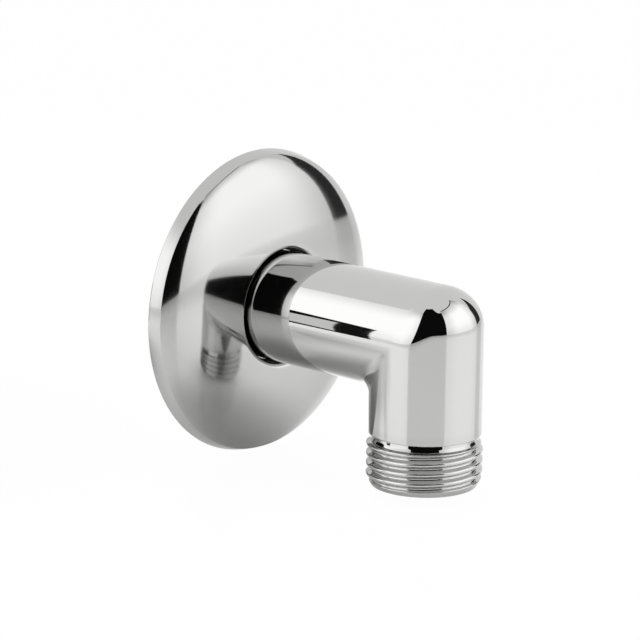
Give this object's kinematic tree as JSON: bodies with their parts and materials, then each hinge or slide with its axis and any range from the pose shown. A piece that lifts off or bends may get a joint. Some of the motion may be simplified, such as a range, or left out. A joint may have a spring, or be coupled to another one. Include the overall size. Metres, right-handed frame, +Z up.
{
  "type": "wall outlet elbow",
  "caption": "Chromed elbow that carries water out of a wall and turns it down to a male hose thread, with a loose domed flange that covers the hole in the wall.",
  "frame": {"origin": "on the inlet's axis, at the plane of the wall", "axes": "+Y goes into the wall along the inlet, +Z is up, the tube comes out along -Y and the outlet points down along -Z"},
  "size_m": [0.0564, 0.0659, 0.0564],
  "materials": {
    "polished_chrome": "bright chrome plating on brass",
    "flange_chrome": "bright chrome plating on pressed sheet, slightly softer reflections",
    "ring_rubber": "black moulded rubber"
  },
  "bodies": {
    "elbow": {"elbow_body": "polished_chrome"},
    "flange": {"wall_flange": "flange_chrome", "flange_o_ring": "ring_rubber"}
  },
  "joints": [
    {"name": "flange_slide", "type": "slide", "parent": "elbow", "child": "flange", "axis": [0, -1, 0], "range_m": [0, 0.0215]}
  ]
}
